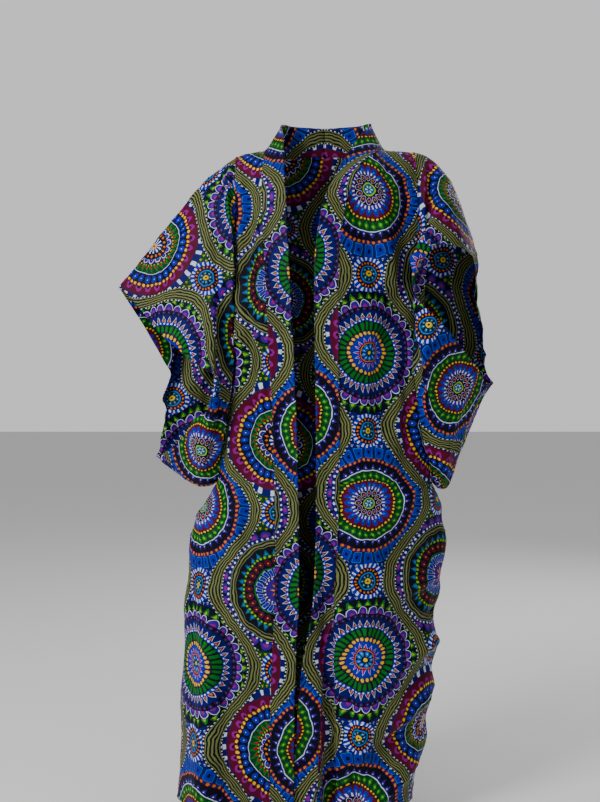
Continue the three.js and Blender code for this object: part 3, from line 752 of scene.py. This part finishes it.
def stitches_object(lines, thickness, name):
    """Every stitch as a short thread that comes up through the cloth, lies on both its faces and goes down."""
    corners, faces = [], []
    half = thickness / METRES / 2
    for points, normals in lines:
        walked = steps(points[None], 1)[0]
        starts = np.arange(STITCH_PITCH, walked[-1] - STITCH_PITCH, STITCH_PITCH)
        for start in starts:
            first = len(corners)
            for share, proud in STITCH_CURVE:
                at = start + share * STITCH_LENGTH
                middle, up, ahead, behind = (
                    np.array([np.interp(there, walked, values[:, axis]) for axis in range(3)])
                    for there, values in ((at, points), (at, normals), (at + 1, points), (at - 1, points)))
                aside = np.cross(ahead - behind, up)
                aside *= STITCH_WIDTH / 2 / np.linalg.norm(aside)
                up = up * (half + proud)
                corners += [middle + aside + up, middle - aside + up, middle - aside - up, middle + aside - up]
            for n in range(first, first + 12, 4):
                faces += [(n + a, n + b, n + b + 4, n + a + 4) for a, b in ((1, 0), (2, 1), (3, 2), (0, 3))]
            faces += [(first, first + 1, first + 2, first + 3),
                      (first + 15, first + 14, first + 13, first + 12)]
    return mesh_object(name, np.array(corners) * METRES, faces)


def add(tree, kind, *inputs, stops=(), **settings):
    """Adds a node with its settings, its colour stops and its inputs in order, and returns its output."""
    made = tree.nodes.new("ShaderNode" + kind)
    for key, value in settings.items():
        setattr(made, key, value)
    for place, value in enumerate(inputs):
        if isinstance(value, bpy.types.NodeSocket):
            tree.links.new(value, made.inputs[place])
        elif value is not None:
            made.inputs[place].default_value = value
    if stops:
        made.color_ramp.interpolation = "CONSTANT"
        elements = made.color_ramp.elements
        elements.remove(elements[1])
        for n, (position, colour) in enumerate(stops):
            element = elements[0] if n == 0 else elements.new(position)
            element.position = position
            element.color = colour
    return made.outputs[0]


def calc(tree, operation, *inputs):
    """Adds a Math node and returns its output."""
    return add(tree, "Math", *inputs, operation=operation)


def blank_material(name):
    """A new material with its node tree and its shader."""
    made = bpy.data.materials.new(name)
    made.use_nodes = True
    return made, made.node_tree, made.node_tree.nodes["Principled BSDF"]


def linear(code):
    """An sRGB hex colour as linear RGBA."""
    parts = [int(code[n : n + 2], 16) / 255 for n in (0, 2, 4)]
    return (*(c / 12.92 if c <= 0.04045 else ((c + 0.055) / 1.055) ** 2.4 for c in parts), 1)


INKS = {
    "night": "04051a",
    "navy": "0b0f63",
    "royal": "1724a6",
    "sky": "1c78cc",
    "teal": "06597c",
    "white": "d8dff5",
    "yellow": "efc100",
    "lime": "8fb800",
    "green": "067424",
    "forest": "033c17",
    "olive": "767d47",
    "orange": "e46f00",
    "red": "a90d1b",
    "plum": "36084a",
    "wine": "560828",
    "magenta": "8c0d84",
    "violet": "38158f",
    "thread": "262c66",
}

# How each motif of the print is drawn within its ring: whether it repeats round the ring, how many times it
# folds over across the ring, and the power of its outline, from diamonds at 1 and ovals at 2 to boxes at 8.
MOTIFS = {
    "lines": (0, 1, 1),
    "ribs": (0, 4, 1),
    "teeth": (1, 1, 1),
    "scallops": (1, 1, 2),
    "lozenges": (1, 2, 1),
    "petals": (1, 2, 2),
    "bars": (1, 2, 8),
}
# The most that each column of the rings may hold, which a colour ramp keeps as 1.
MOST = {"fold": 8, "power": 8, "count": 64, "width": 4}

# The rings of each printed roundel, from its middle out: the outer radius in millimetres, the motif, how many
# there are round the ring, how wide each is in its share of it, how far it leans, and its inks from its middle
# to its ground, with the share of the motif where each one starts.
ROUNDELS = {
    "wheel": (
        (6, "lines", 1, 1, 0, "yellow 0.6 night"),
        (18, "petals", 9, 0.85, 0, "white 0.2 sky 0.8 navy"),
        (22, "lines", 1, 1, 0, "orange 0.5 night"),
        (38, "teeth", 16, 1, 0, "magenta 0.6 white 0.72 royal"),
        (47, "petals", 28, 0.75, 0, "yellow 0.85 plum"),
        (66, "bars", 34, 0.75, 0, "green 0.7 forest 0.95 night"),
        (72, "petals", 50, 0.75, 0, "white 0.6 royal"),
        (88, "teeth", 36, 1, 0, "orange 0.3 wine 0.6 white 0.72 navy"),
        (98, "petals", 48, 0.8, 0, "sky 0.2 plum 0.85 night"),
        (113, "scallops", 30, 1, 0, "magenta 0.35 violet 0.8 white 0.9 night"),
        (130, "teeth", 40, 1, 0, "lime 0.4 green 0.8 night"),
    ),
    "sun": (
        (6, "lines", 1, 1, 0, "red 0.5 yellow"),
        (20, "bars", 12, 0.4, 0, "white 0.9 navy"),
        (32, "lozenges", 16, 0.9, 0, "orange 0.6 night"),
        (44, "scallops", 14, 1, 0, "sky 0.2 violet 0.72 white 0.82 plum"),
        (49, "petals", 36, 0.75, 0, "lime 0.75 night"),
        (64, "teeth", 26, 1, 0.9, "red 0.5 night 0.6 green 0.95 forest"),
        (68, "lines", 1, 1, 0, "white 0.4 navy"),
        (87, "petals", 30, 0.85, 0, "white 0.12 royal 0.85 night"),
        (95, "petals", 54, 0.75, 0, "yellow 0.8 wine"),
        (113, "scallops", 26, 1, 0, "night 0.3 magenta 0.62 wine"),
        (130, "bars", 30, 0.45, 0, "white 0.75 navy"),
    ),
    "fan": (
        (10, "petals", 6, 0.8, 0, "white 0.5 teal"),
        (15, "lines", 1, 1, 0, "lime 0.5 night"),
        (30, "petals", 12, 0.9, 0, "orange 0.2 plum 0.8 white 0.9 night"),
        (38, "bars", 28, 0.45, 0, "white 0.8 violet"),
        (54, "scallops", 20, 1, 0, "sky 0.3 royal 0.8 wine"),
        (59, "petals", 44, 0.75, 0, "yellow 0.75 night"),
        (77, "lozenges", 30, 1, 0.6, "lime 0.3 green 0.8 forest"),
        (82, "lines", 1, 1, 0, "white 0.4 navy"),
        (97, "teeth", 34, 1, 0, "white 0.2 violet 0.65 night"),
        (105, "petals", 60, 0.7, 0, "orange 0.7 plum"),
        (130, "bars", 32, 0.75, 0, "night 0.25 royal 0.85 sky 0.97 navy"),
    ),
    "star": (
        (7, "lines", 1, 1, 0, "white 0.3 magenta"),
        (24, "teeth", 8, 1, 0, "yellow 0.4 orange 0.6 night 0.7 violet"),
        (30, "petals", 24, 0.75, 0, "white 0.6 plum"),
        (47, "bars", 22, 0.7, 0, "royal 0.8 white 0.9 navy"),
        (52, "lines", 1, 1, 0, "green 0.5 night"),
        (70, "petals", 26, 0.85, 0, "yellow 0.15 wine 0.85 night"),
        (77, "petals", 52, 0.75, 0, "lime 0.7 forest"),
        (92, "teeth", 30, 1, 0, "sky 0.4 teal 0.75 night"),
        (106, "ribs", 1, 1, 0, "night 0.5 olive"),
        (114, "petals", 60, 0.75, 0, "white 0.55 navy"),
        (130, "scallops", 28, 1, 0, "magenta 0.4 violet 0.8 night"),
    ),
    "rosette": (
        (6, "lines", 1, 1, 0, "night 0.35 yellow"),
        (16, "petals", 8, 0.85, 0, "white 0.2 teal 0.85 night"),
        (20, "lines", 1, 1, 0, "sky 0.6 navy"),
        (28, "petals", 20, 0.8, 0, "orange 0.6 night"),
        (38, "bars", 22, 0.5, 0, "white 0.8 royal"),
    ),
    # The lattice's band, from its middle line out.
    "band": (
        (13, "ribs", 1, 1, 0, "night 0.5 olive"),
        (17.5, "petals", 46, 0.75, 0, "white 0.6 night"),
    ),
}

# The inks of the ground's small triangles, by the kind of cell.
GROUNDS = (
    "white 0.2 royal 0.42 white 0.5 navy",
    "orange 0.24 night 0.3 lime 0.56 forest",
)
RING_MARGIN = 0.06  # keeps one ring's inks from showing at the start of the next
RING_SPAN = 1 - 2 * RING_MARGIN
RING_END = 0.97

# The print's layout, in columns or metres, and how many to the metre.
LATTICE_WAVE = 0.24
OUTLINE_WOBBLE = 0.009
WOBBLE_SCALE = 34
TRIANGLE_SCALE = 91
DYE_SCALE = 9
WEAVE_SCALE = 600
TWIST_SCALE = 2400


def ink_stops(inks):
    """The colour stops of a row of inks: the first ink starts at 0, and each other one after its number."""
    words = inks.split()
    return [(float(at), linear(INKS[ink])) for at, ink in zip([0, *words[1::2]], words[::2])]


def look_up_ring(tree, at, stops):
    """Four numbers, each from 0 to 1, for the ring that a radius lies in."""
    colour = add(tree, "ValToRGB", at, stops=stops)
    return *add(tree, "SeparateColor", colour).node.outputs, colour.node.outputs[1]


def printed_rings(tree, rings, radius, angle):
    """The print's colour at a radius in metres and an angle in radians: one motif to each ring."""
    math = partial(calc, tree)
    reach, inner = rings[-1][0], 0
    places, shapes, stops = [], [], []
    for n, (outer, motif, count, width, lean, inks) in enumerate(rings):
        around, folds, power = MOTIFS[motif]
        start = inner / reach
        places.append((start, (start, (outer - inner) / reach, count / MOST["count"], n / len(rings))))
        shapes.append((start, (around / width / MOST["width"], folds / MOST["fold"], power / MOST["power"], lean)))
        stops += [((n + (RING_MARGIN + RING_SPAN * at if at else 0)) / len(rings), ink)
                  for at, ink in ink_stops(inks)]
        inner = outer
    at = math("MULTIPLY", radius, 1 / (reach * METRES))
    start, span, count, ring = look_up_ring(tree, at, places)
    turns, folds, power, lean = look_up_ring(tree, at, shapes)
    out = math("DIVIDE", math("SUBTRACT", at, start), span)
    turn = math("MULTIPLY", count, MOST["count"] / pi)
    turn = math("MULTIPLY_ADD", angle, turn, math("MULTIPLY", lean, out))
    turn = math("MULTIPLY", math("PINGPONG", turn, 1), MOST["width"])
    turn = math("MULTIPLY", turn, turns)
    folds = math("MULTIPLY", folds, MOST["fold"])
    # A motif that folds over is centred across its ring, and any other stands on its inner edge.
    out = math("MULTIPLY_ADD", out, folds, math("GREATER_THAN", folds, 1.5))
    out = math("PINGPONG", out, 1)
    power = math("MULTIPLY", power, MOST["power"])
    shape = math("ADD", math("POWER", turn, power), math("POWER", out, power))
    shape = math("POWER", shape, math("DIVIDE", 1, power))
    shape = math("MINIMUM", math("MULTIPLY_ADD", shape, RING_SPAN, RING_MARGIN), RING_END)
    key = math("MULTIPLY_ADD", shape, 1 / len(rings), ring)
    return add(tree, "ValToRGB", key, stops=stops)


def distance(tree, x, y):
    """The distance of a place from where x and y are 0."""
    return calc(tree, "SQRT", calc(tree, "ADD", calc(tree, "POWER", x, 2), calc(tree, "POWER", y, 2)))


def wax_print_cotton():
    """Wax-print cotton: stiff plain weave, dyed and block printed on both faces, then calendered smooth.
    The eye gets a dense dark print of ringed roundels in a lattice of ribbed bands, with crisp outlines that
    wobble slightly as cut by hand, and a soft low sheen over a barely visible weave."""
    cotton = bpy.context.scene.kimono_cotton
    material, tree, shader = blank_material("wax_print_cotton")
    math = partial(calc, tree)
    cloth = add(tree, "UVMap", uv_map="cloth")
    wobble = add(tree, "TexNoise", cloth, None, WOBBLE_SCALE, 2, noise_dimensions="2D").node.outputs[1]
    wobble = add(tree, "VectorMath", wobble, (0.5, 0.5, 0.5), operation="SUBTRACT")
    wobble = add(tree, "VectorMath", wobble, (OUTLINE_WOBBLE, OUTLINE_WOBBLE, 0), operation="MULTIPLY")
    flat = add(tree, "VectorMath", cloth, wobble, operation="ADD")
    u = add(tree, "SeparateXYZ", flat)
    v = u.node.outputs[1]
    column, repeat = cotton.print_column, cotton.print_repeat

    # The lattice: wavy bands at every column of the print, each the mirror image of the last.
    t = math("MULTIPLY", u, 1 / column)
    nearest = math("ROUND", t)
    mirror = math("MULTIPLY_ADD", math("FLOORED_MODULO", nearest, 2), -2, 1)
    phase = math("MULTIPLY", v, 2 * pi / repeat)
    wave = math("MULTIPLY", math("COSINE", phase), LATTICE_WAVE)
    from_edge = math("SUBTRACT", t, math("MULTIPLY_ADD", mirror, wave, nearest))
    cell = math("ADD", nearest, math("GREATER_THAN", from_edge, 0))
    cell = math("SUBTRACT", cell, 1)
    odd = math("FLOORED_MODULO", cell, 2)
    x = math("SUBTRACT", math("SUBTRACT", t, cell), 0.5)
    x = math("MULTIPLY", x, column)
    rows = math("MULTIPLY_ADD", v, 1 / repeat, math("MULTIPLY_ADD", odd, -0.5, 0.5))
    row = math("ROUND", rows)
    y = math("MULTIPLY", math("SUBTRACT", rows, row), repeat)
    between = math("SUBTRACT", math("FRACT", rows), 0.5)
    between = math("MULTIPLY", between, repeat)
    other_row = math("FLOORED_MODULO", row, 2)

    # A large roundel in each wide part of the lattice, of four kinds in turn, and a rosette in each narrow part.
    radius, angle = distance(tree, x, y), math("ARCTAN2", y, x)
    wheel, sun, fan, star = (
        printed_rings(tree, ROUNDELS[kind], radius, angle) for kind in ("wheel", "sun", "fan", "star"))
    roundels = add(tree, "MixRGB", odd, add(tree, "MixRGB", other_row, wheel, fan),
                   add(tree, "MixRGB", other_row, sun, star))
    small = distance(tree, x, between)
    rosette = printed_rings(tree, ROUNDELS["rosette"], small, math("ARCTAN2", between, x))

    # The ground: small triangles in a half-drop of 11 mm.
    scale = (TRIANGLE_SCALE, TRIANGLE_SCALE, 0)
    speck = add(tree, "SeparateXYZ", add(tree, "VectorMath", flat, scale, operation="MULTIPLY"))
    down = speck.node.outputs[1]
    across = math("MULTIPLY_ADD", math("FLOOR", down), 0.5, speck)
    across = math("PINGPONG", math("MULTIPLY", across, 2), 1)
    tip = math("ADD", across, math("FRACT", down))
    ground = add(tree, "MixRGB", odd, *(add(tree, "ValToRGB", tip, stops=ink_stops(inks)) for inks in GROUNDS))

    # The roundels and rosettes lie on the ground, and the lattice's bands on top.
    off = math("ABSOLUTE", math("MULTIPLY", from_edge, column))
    colour = ground
    for away, kind, printed in (
        (radius, "wheel", roundels),
        (small, "rosette", rosette),
        (off, "band", printed_rings(tree, ROUNDELS["band"], off, phase)),
    ):
        inside = math("LESS_THAN", away, ROUNDELS[kind][-1][0] * METRES)
        colour = add(tree, "MixRGB", inside, colour, printed)

    # Uneven dye, and a weave drawn at 1.6 mm, as threads of 0.3 mm would not show.
    dye = add(tree, "TexNoise", flat, None, DYE_SCALE, 3, noise_dimensions="2D")
    colour = add(tree, "HueSaturation", 0.5, 1.05, add(tree, "MapRange", dye, 0.3, 0.7, 0.8, 1.05), 1, colour)
    threads = add(tree, "VectorMath", cloth, (WEAVE_SCALE, WEAVE_SCALE, 0), operation="MULTIPLY")
    weave = add(tree, "TexNoise", threads, None, 1, 1, noise_dimensions="2D")
    tree.links.new(colour, shader.inputs["Base Color"])
    tree.links.new(add(tree, "Bump", 0.12, 0.0004, None, weave), shader.inputs["Normal"])
    shader.inputs["Roughness"].default_value = cotton.roughness
    shader.inputs["Sheen Weight"].default_value = 0.015
    shader.inputs["Sheen Roughness"].default_value = 0.45
    shader.inputs["Specular IOR Level"].default_value = 0.12
    return material


def spun_polyester_thread():
    """Spun polyester sewing thread, dyed navy: a slightly hairy twist that gives the eye a soft dotted line."""
    material, tree, shader = blank_material("spun_polyester_thread")
    place = add(tree, "TexCoord").node.outputs["Object"]
    twist = add(tree, "TexNoise", place, None, TWIST_SCALE, 1)
    colour = add(tree, "MixRGB", twist, linear(INKS["night"]), linear(INKS["thread"]))
    tree.links.new(colour, shader.inputs["Base Color"])
    tree.links.new(add(tree, "Bump", 0.3, 0.0002, None, twist), shader.inputs["Normal"])
    shader.inputs["Roughness"].default_value = 0.55
    shader.inputs["Sheen Weight"].default_value = 0.1
    return material


# What shows of each piece as it was cut: its flat width and length in metres, and the share of that
# rectangle that it fills.
CUTS = {
    "back": ((0.62, 1.45), 0.9),
    "front_right": ((0.21, 1.45), 0.9),
    "front_left": ((0.28, 1.45), 0.9),
    "sleeve_right": ((0.38, 1.44), 0.52),
    "sleeve_left": ((0.38, 1.44), 0.5),
    "band_right": ((0.05, 1.62), 1),
    "band_left": ((0.05, 1.62), 1),
}
FORMS = {}


def hand_over(made, stitches, node):
    """Finishes a piece of cloth for the frame: what it stands for and moves with."""
    for piece in (made, stitches):
        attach(piece, "root")
    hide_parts(node)


def made_of(piece, make):
    """Gives a piece its material, which is made only once."""
    piece.data.materials.append(bpy.data.materials.get(make.__name__) or make())


def sew_pieces(context, kind):
    """Sews every piece of a kind, such as both sleeves, with its stitches."""
    cotton = context.scene.kimono_cotton
    thickness = cotton.band_thickness if kind == "band" else cotton.thickness
    if not FORMS:
        FORMS.update(cloth_forms(cotton))
    for node in (node for node in CUTS if node.startswith(kind)):
        made = cloth_object(FORMS[node], thickness, f"{node}_cloth")
        made_of(made, wax_print_cotton)
        stitches = stitches_object(stitch_lines(FORMS[node], kind), thickness, f"{node}_stitches")
        made_of(stitches, spun_polyester_thread)
        hand_over(made, stitches, node)
    return {"FINISHED"}


class KIMONO_OT_back(bpy.types.Operator):
    """Hang the back panel from the shoulder seams"""

    bl_idname = "kimono.back"
    bl_label = "Back"

    def execute(self, context):
        return sew_pieces(context, "back")


class KIMONO_OT_fronts(bpy.types.Operator):
    """Hang the two fronts, open down the middle"""

    bl_idname = "kimono.fronts"
    bl_label = "Fronts"

    def execute(self, context):
        return sew_pieces(context, "front")


class KIMONO_OT_sleeves(bpy.types.Operator):
    """Set the two wide sleeves into their armholes"""

    bl_idname = "kimono.sleeves"
    bl_label = "Sleeves"

    def execute(self, context):
        return sew_pieces(context, "sleeve")


class KIMONO_OT_bands(bpy.types.Operator):
    """Sew the doubled edge band round the neck and down both fronts"""

    bl_idname = "kimono.bands"
    bl_label = "Edge bands"

    def execute(self, context):
        return sew_pieces(context, "band")


FLOOR_PAPER = "f4f3f2"
FLOOR_REACH = 30  # metres to each side
LAMP_AIM = Vector((0, 0, -0.6))
PICTURE_HEIGHT = 802  # pixels


class KIMONO_OT_studio(bpy.types.Operator):
    """Set up the plain floor, the soft lights and the camera"""

    bl_idname = "kimono.studio"
    bl_label = "Studio"

    def execute(self, context):
        studio = context.scene.kimono_studio
        corners = [(x * FLOOR_REACH, y * FLOOR_REACH, studio.floor_height)
                   for x, y in ((-1, -1), (1, -1), (1, 1), (-1, 1))]
        floor = mesh_object("studio_floor", np.array(corners), [(0, 1, 2, 3)])
        paper, _, shader = blank_material("matt_paper_sweep")
        shader.inputs["Base Color"].default_value = linear(FLOOR_PAPER)
        shader.inputs["Roughness"].default_value = 0.9
        floor.data.materials.append(paper)
        ceiling = bpy.data.lights.new("ceiling", "SUN")
        ceiling.energy = studio.ceiling_power
        ceiling.angle = radians(90)
        show("ceiling", ceiling)
        for name, power, place, size in (
            ("key", studio.key_power, (-2.4, -2.4, 1.3), 1.2),
            ("fill", studio.fill_power, (2.4, -2.2, 0.1), 2.2),
            ("back light", studio.back_power, (1.8, 2.6, 1.3), 1.6),
        ):
            lamp = bpy.data.lights.new(name, "AREA")
            lamp.size, lamp.energy = size, power
            made = show(name, lamp)
            made.location = place
            made.rotation_euler = (LAMP_AIM - Vector(place)).to_track_quat("-Z", "Y").to_euler()
        # The pale walls are further off than they look, so they light the cloth less than their colour says.
        world = bpy.data.worlds.new("studio_air")
        world.use_nodes = True
        tree = world.node_tree
        dimmed = [part * studio.air_share for part in studio.air]
        walls = add(tree, "MixRGB", add(tree, "LightPath"), (*dimmed, 1), (*studio.air, 1))
        tree.links.new(walls, tree.nodes["Background"].inputs["Color"])
        context.scene.world = world
        camera = show("camera", bpy.data.cameras.new("camera"))
        camera.location = studio.camera_place
        camera.rotation_euler = (radians(90), 0, 0)
        camera.data.lens = studio.focal_px / PICTURE_HEIGHT * camera.data.sensor_width
        context.scene.camera = camera
        return {"FINISHED"}


STEPS = ("back", "fronts", "sleeves", "bands", "studio")


class KIMONO_PT_panel(bpy.types.Panel):
    """Shows the settings of the cotton and the studio, and a button for each step"""

    bl_idname = "KIMONO_PT_panel"
    bl_label = "Kimono Jacket"
    bl_space_type = "VIEW_3D"
    bl_region_type = "UI"
    bl_category = "Kimono"

    def draw(self, context):
        for settings in (context.scene.kimono_cotton, context.scene.kimono_studio):
            for name in settings.__annotations__:
                self.layout.prop(settings, name)
        for step in STEPS:
            self.layout.operator(f"kimono.{step}")


CLASSES = (
    CottonSettings,
    StudioSettings,
    KIMONO_OT_back,
    KIMONO_OT_fronts,
    KIMONO_OT_sleeves,
    KIMONO_OT_bands,
    KIMONO_OT_studio,
    KIMONO_PT_panel,
)


def register():
    for cls in CLASSES:
        bpy.utils.register_class(cls)
    bpy.types.Scene.kimono_cotton = PointerProperty(type=CottonSettings)
    bpy.types.Scene.kimono_studio = PointerProperty(type=StudioSettings)


def unregister():
    del bpy.types.Scene.kimono_studio
    del bpy.types.Scene.kimono_cotton
    for cls in reversed(CLASSES):
        bpy.utils.unregister_class(cls)


def main():
    register()
    for step in STEPS:
        getattr(bpy.ops.kimono, step)()


if __name__ == "__main__":
    main()
